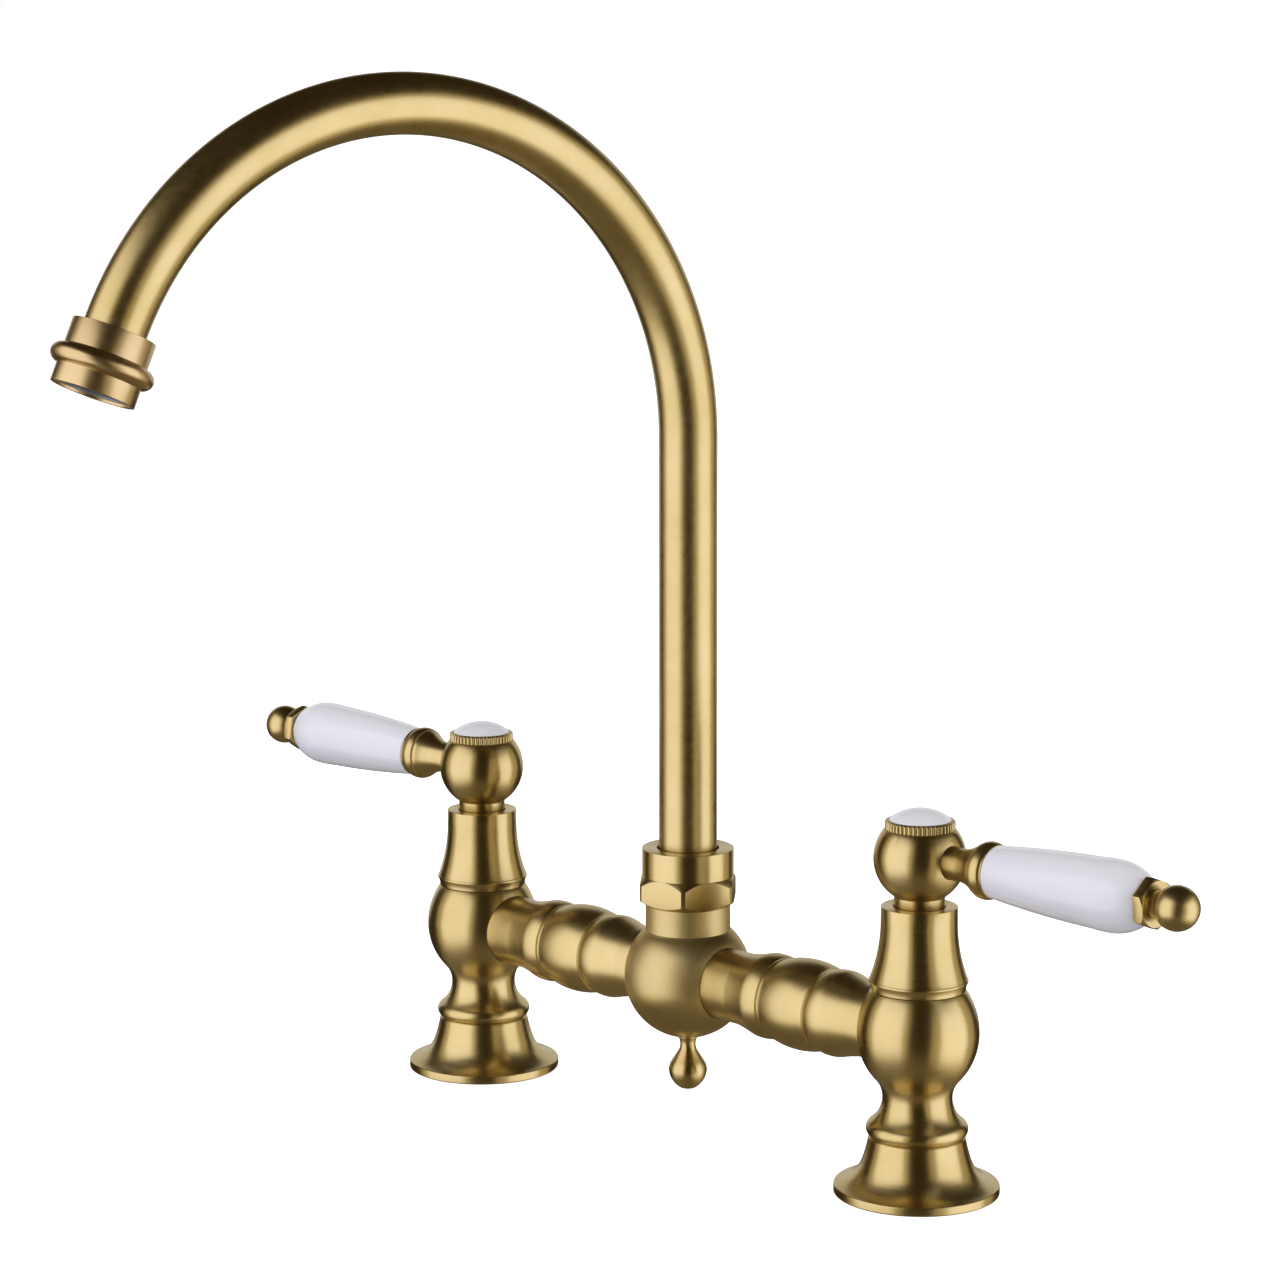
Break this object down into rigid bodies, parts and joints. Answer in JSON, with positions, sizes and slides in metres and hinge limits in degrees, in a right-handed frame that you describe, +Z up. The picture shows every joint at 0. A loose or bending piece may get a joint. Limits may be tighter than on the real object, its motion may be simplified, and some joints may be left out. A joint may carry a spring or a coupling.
{
  "type": "bridge kitchen faucet",
  "caption": "Two-handle bridge kitchen faucet: bell-footed deck columns joined by a turned bridge, a swivelling high-arc spout and porcelain lever handles.",
  "frame": {"origin": "on the deck plane, midway between the centres of the two inlets", "axes": "+X runs along the bridge to the right (cold) column, -Y points over the sink, +Z points up from the deck"},
  "size_m": [0.4199, 0.2495, 0.3477],
  "materials": {
    "satin_brass": "brushed, lightly antiqued, clear lacquered",
    "porcelain": "white glaze, glossy",
    "seal_rubber": "moulded, matt",
    "plain_brass": "machined, unfinished",
    "steel": "zinc plated",
    "aerator_metal": "plated, fine turned",
    "aerator_plastic": "moulded, light grey"
  },
  "bodies": {
    "bridge": {"left_base_flange": "satin_brass", "right_base_flange": "satin_brass", "left_base_gasket": "seal_rubber", "right_base_gasket": "seal_rubber", "left_column_body": "satin_brass", "right_column_body": "satin_brass", "left_bonnet": "satin_brass", "right_bonnet": "satin_brass", "left_cartridge": "plain_brass", "right_cartridge": "plain_brass", "left_arm": "satin_brass", "right_arm": "satin_brass", "centre_hub": "satin_brass", "drip_finial": "satin_brass", "swivel_nut": "satin_brass"},
    "spout": {"spout_bush": "plain_brass", "lower_spout_seal": "seal_rubber", "upper_spout_seal": "seal_rubber", "spout_tube": "satin_brass", "outlet_collar": "satin_brass", "aerator_washer": "seal_rubber", "aerator_housing": "aerator_metal", "aerator_insert": "aerator_plastic"},
    "left_handle": {"left_spindle": "plain_brass", "left_handle_hub": "satin_brass", "left_handle_screw": "steel", "left_index_ring": "satin_brass", "left_index_disc": "porcelain", "left_lever_ferrule": "satin_brass", "left_lever_grip": "porcelain", "left_lever_rod": "steel", "left_lever_nut": "satin_brass", "left_lever_finial": "satin_brass"},
    "right_handle": {"right_spindle": "plain_brass", "right_handle_hub": "satin_brass", "right_handle_screw": "steel", "right_index_ring": "satin_brass", "right_index_disc": "porcelain", "right_lever_ferrule": "satin_brass", "right_lever_grip": "porcelain", "right_lever_rod": "steel", "right_lever_nut": "satin_brass", "right_lever_finial": "satin_brass"}
  },
  "joints": [
    {"name": "spout_swivel", "type": "hinge", "parent": "bridge", "child": "spout", "pos_m": [0, 0, 0.0756], "axis": [0, 0, 1], "continuous": true},
    {"name": "left_handle_turn", "type": "hinge", "parent": "bridge", "child": "left_handle", "pos_m": [-0.1016, 0, 0.1072], "axis": [0, 0, 1], "range_deg": [0, 90]},
    {"name": "right_handle_turn", "type": "hinge", "parent": "bridge", "child": "right_handle", "pos_m": [0.1016, 0, 0.1072], "axis": [0, 0, 1], "range_deg": [-90, 0]}
  ]
}
